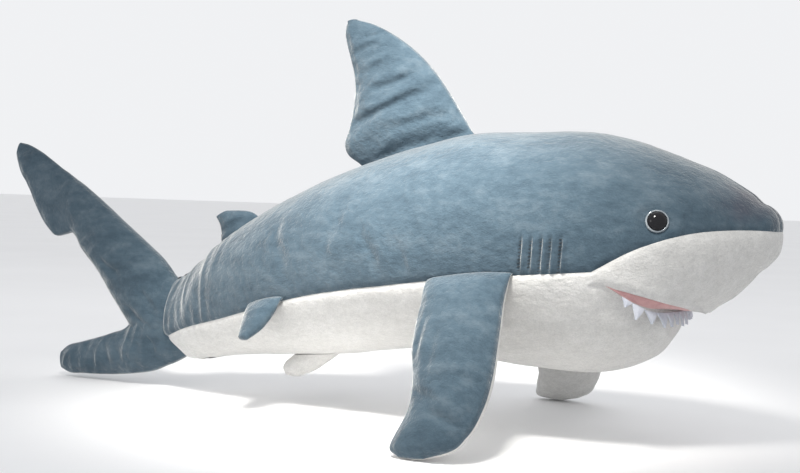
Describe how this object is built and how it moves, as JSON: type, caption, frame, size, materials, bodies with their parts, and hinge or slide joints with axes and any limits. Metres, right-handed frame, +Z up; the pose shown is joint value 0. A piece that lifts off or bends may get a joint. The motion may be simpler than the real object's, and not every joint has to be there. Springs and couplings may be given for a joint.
{
  "type": "plush shark",
  "caption": "Large stuffed plush shark in blue-grey and white pile cloth, with sewn-on stuffed fins that flex at their root seams, felt teeth and domed safety eyes.",
  "frame": {"origin": "on the floor under the middle of the whole shark's box", "axes": "+X to the nose, +Y to the shark's left, +Z up"},
  "size_m": [0.7665, 0.3258, 0.351],
  "materials": {
    "grey_plush": "short velvety pile, blue-grey, nap brushed tailward",
    "white_plush": "short velvety pile, off-white",
    "gum_felt": "smooth pink pile cloth",
    "tooth_felt": "stiff white felt",
    "stuffing": "polyester fibre fill",
    "stitching": "dark sewing thread",
    "eye_black": "polished black",
    "eye_rim": "clear polished collar",
    "washer": "moulded lock washer"
  },
  "bodies": {
    "body": {"body_stuffing": "stuffing", "back_panel_right": "grey_plush", "snout_panel_right": "white_plush", "eye_right": "eye_black", "eye_rim_right": "eye_rim", "eye_washer_right": "washer", "gill_stitches_right": "stitching", "back_panel_left": "grey_plush", "snout_panel_left": "white_plush", "eye_left": "eye_black", "eye_rim_left": "eye_rim", "eye_washer_left": "washer", "gill_stitches_left": "stitching", "belly_panel": "white_plush", "mouth_lining": "gum_felt", "tooth_strip": "tooth_felt"},
    "dorsal_fin": {"dorsal_panel_right": "grey_plush", "dorsal_panel_left": "grey_plush", "dorsal_stuffing": "stuffing"},
    "rear_dorsal_fin": {"rear_dorsal_panel_right": "grey_plush", "rear_dorsal_panel_left": "grey_plush", "rear_dorsal_stuffing": "stuffing"},
    "anal_fin": {"anal_panel_right": "white_plush", "anal_panel_left": "white_plush", "anal_stuffing": "stuffing"},
    "tail_fin": {"tail_panel_right": "grey_plush", "tail_panel_left": "grey_plush", "tail_stuffing": "stuffing"},
    "pectoral_fin_right": {"pectoral_outer_right": "grey_plush", "pectoral_inner_right": "white_plush", "pectoral_stuffing_right": "stuffing"},
    "pelvic_fin_right": {"pelvic_outer_right": "grey_plush", "pelvic_inner_right": "grey_plush", "pelvic_stuffing_right": "stuffing"},
    "pectoral_fin_left": {"pectoral_outer_left": "grey_plush", "pectoral_inner_left": "white_plush", "pectoral_stuffing_left": "stuffing"},
    "pelvic_fin_left": {"pelvic_outer_left": "grey_plush", "pelvic_inner_left": "grey_plush", "pelvic_stuffing_left": "stuffing"}
  },
  "joints": [
    {"name": "dorsal_lean", "type": "hinge", "parent": "body", "child": "dorsal_fin", "pos_m": [0.07, 0, 0.2355], "axis": [0.9615, 0, 0.2747], "range_deg": [-25, 25], "stiffness_Nm_per_rad": 0.15},
    {"name": "rear_dorsal_lean", "type": "hinge", "parent": "body", "child": "rear_dorsal_fin", "pos_m": [-0.103, 0, 0.159], "axis": [0.8354, 0, 0.5496], "range_deg": [-30, 30], "stiffness_Nm_per_rad": 0.02},
    {"name": "anal_lean", "type": "hinge", "parent": "body", "child": "anal_fin", "pos_m": [-0.02, 0, 0.0432], "axis": [0.9952, 0, 0.0974], "range_deg": [-30, 30], "stiffness_Nm_per_rad": 0.02},
    {"name": "tail_swing", "type": "hinge", "parent": "body", "child": "tail_fin", "pos_m": [-0.1785, 0, 0.0675], "axis": [0, 0, 1], "range_deg": [-25, 25], "stiffness_Nm_per_rad": 0.8},
    {"name": "pectoral_lift_left", "type": "hinge", "parent": "body", "child": "pectoral_fin_left", "pos_m": [0.1675, 0.0956, 0.132], "axis": [0.9875, 0.0812, 0.1353], "range_deg": [-8, 50]},
    {"name": "pectoral_lift_right", "type": "hinge", "parent": "body", "child": "pectoral_fin_right", "pos_m": [0.1675, -0.0956, 0.132], "axis": [-0.9875, 0.0812, -0.1353], "range_deg": [-8, 50]},
    {"name": "pelvic_lift_left", "type": "hinge", "parent": "body", "child": "pelvic_fin_left", "pos_m": [-0.031, 0.0697, 0.0995], "axis": [0.9529, 0.2144, 0.2144], "range_deg": [-10, 40], "stiffness_Nm_per_rad": 0.02},
    {"name": "pelvic_lift_right", "type": "hinge", "parent": "body", "child": "pelvic_fin_right", "pos_m": [-0.031, -0.0697, 0.0995], "axis": [-0.9529, 0.2144, -0.2144], "range_deg": [-10, 40], "stiffness_Nm_per_rad": 0.02}
  ]
}
